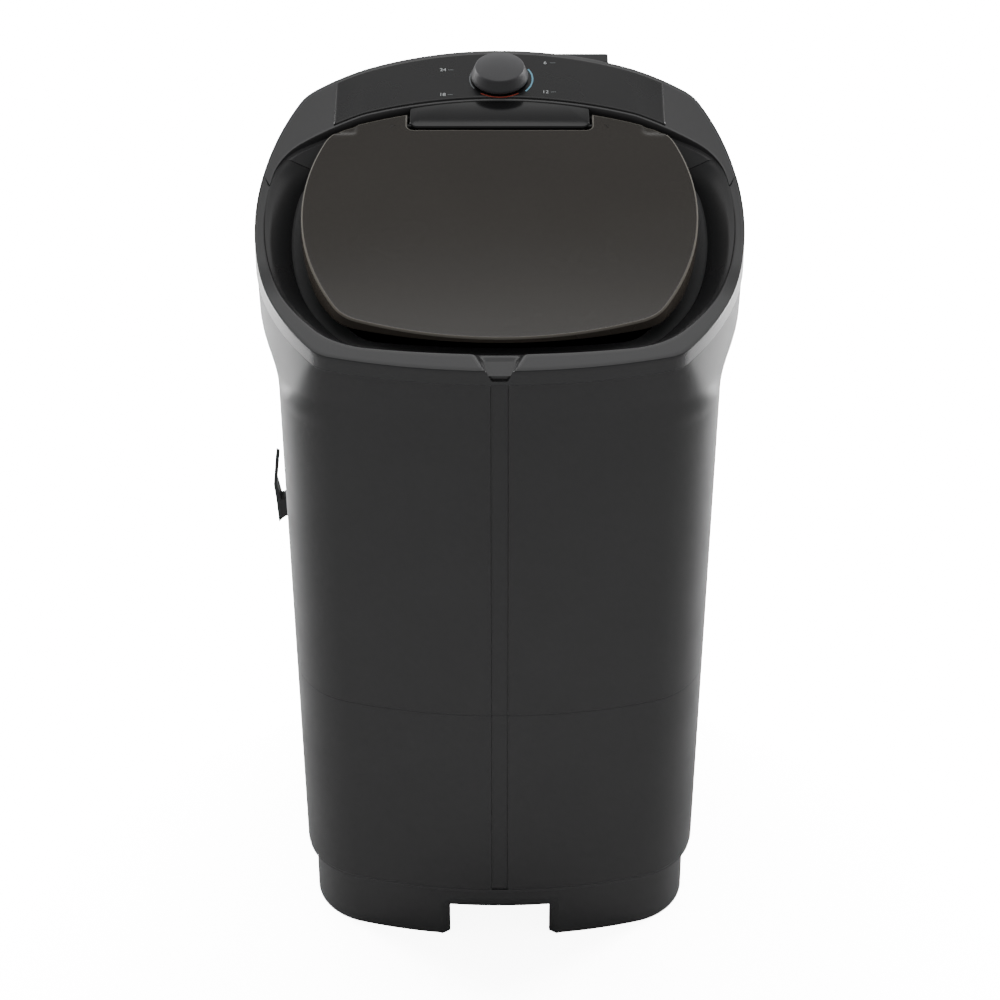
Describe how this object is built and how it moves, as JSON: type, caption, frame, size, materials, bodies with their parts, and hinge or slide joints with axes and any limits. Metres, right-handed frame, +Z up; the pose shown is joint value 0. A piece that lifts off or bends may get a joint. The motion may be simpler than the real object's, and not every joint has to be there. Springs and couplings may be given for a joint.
{
  "type": "washing machine",
  "caption": "Top-loading washing machine with a moulded cabinet and base, a smoked hinged lid, a raised rear panel with a dial knob, and a belt-driven pulsator in the tub.",
  "frame": {"origin": "middle of the footprint, on the floor", "axes": "+X to the user's right, +Y to the rear, +Z up; the lid is closed at rest"},
  "size_m": [0.5239, 0.525, 0.9035],
  "materials": {
    "cabinet_plastic": "fine matt",
    "base_plastic": "matt",
    "frame_plastic": "satin",
    "panel_plastic": "satin",
    "decal_foil": "satin",
    "tab_plastic": "satin",
    "lid_plastic": "clear gloss",
    "knob_plastic": "satin",
    "inlet_plastic": "satin",
    "agitator_plastic": "satin",
    "inner_plastic": "matt",
    "rubber": "matt",
    "zinc_steel": "zinc plated",
    "bare_steel": "ground",
    "bronze": "sintered",
    "cast_alloy": "as cast",
    "motor_shell": "painted",
    "capacitor_can": "moulded",
    "filter_plastic": "moulded"
  },
  "bodies": {
    "cabinet": {"tub_body": "cabinet_plastic", "base_skirt": "base_plastic", "rubber_feet": "rubber", "base_screws": "zinc_steel", "top_frame": "frame_plastic", "frame_screws": "zinc_steel", "control_panel": "panel_plastic", "panel_screws": "zinc_steel", "panel_decal": "decal_foil", "panel_tab": "tab_plastic", "timer_body": "inner_plastic", "timer_screws": "zinc_steel", "water_inlet": "inlet_plastic", "bearing_housing": "inner_plastic", "bearing_bushes": "bronze", "shaft_seal": "rubber", "drive_belt": "rubber", "motor_body": "motor_shell", "motor_bracket": "zinc_steel", "motor_bolts": "zinc_steel", "bracket_bolts": "zinc_steel", "capacitor": "capacitor_can", "capacitor_clamp": "zinc_steel", "terminal_block": "inner_plastic", "cord_gland": "inner_plastic", "drain_grille": "inner_plastic", "drain_outlet": "inner_plastic", "filter_holder": "inner_plastic", "hose_clip": "base_plastic"},
    "lid": {"lid": "lid_plastic", "lid_hinge_pins": "bare_steel"},
    "knob": {"timer_knob": "knob_plastic", "timer_shaft": "bare_steel"},
    "agitator": {"pulsator": "agitator_plastic", "pulsator_screw": "bare_steel", "drive_shaft": "bare_steel", "large_pulley": "cast_alloy", "pulley_nut": "zinc_steel"},
    "motor_rotor": {"motor_pulley": "cast_alloy", "motor_shaft": "bare_steel"},
    "filter": {"lint_filter": "filter_plastic"}
  },
  "joints": [
    {"name": "lid_hinge", "type": "hinge", "parent": "cabinet", "child": "lid", "pos_m": [0, 0.1315, 0.86193], "axis": [-1, 0, 0], "range_deg": [0, 104]},
    {"name": "timer_turn", "type": "hinge", "parent": "cabinet", "child": "knob", "pos_m": [0, 0.2075, 0.87927], "axis": [0, -0.1392, 0.9903], "range_deg": [-320, 0]},
    {"name": "pulsator_spin", "type": "hinge", "parent": "cabinet", "child": "agitator", "pos_m": [0, -0.004, 0.3], "axis": [0, 0, 1], "continuous": true},
    {"name": "motor_spin", "type": "hinge", "parent": "cabinet", "child": "motor_rotor", "pos_m": [0.096, 0.092, 0.184], "axis": [0, 0, 1], "continuous": true},
    {"name": "filter_lift", "type": "slide", "parent": "cabinet", "child": "filter", "axis": [0, 0, 1], "range_m": [0, 0.06]}
  ],
  "couplings": [
    {"joint": "motor_spin", "follows": "pulsator_spin", "ratio": 3.75}
  ]
}
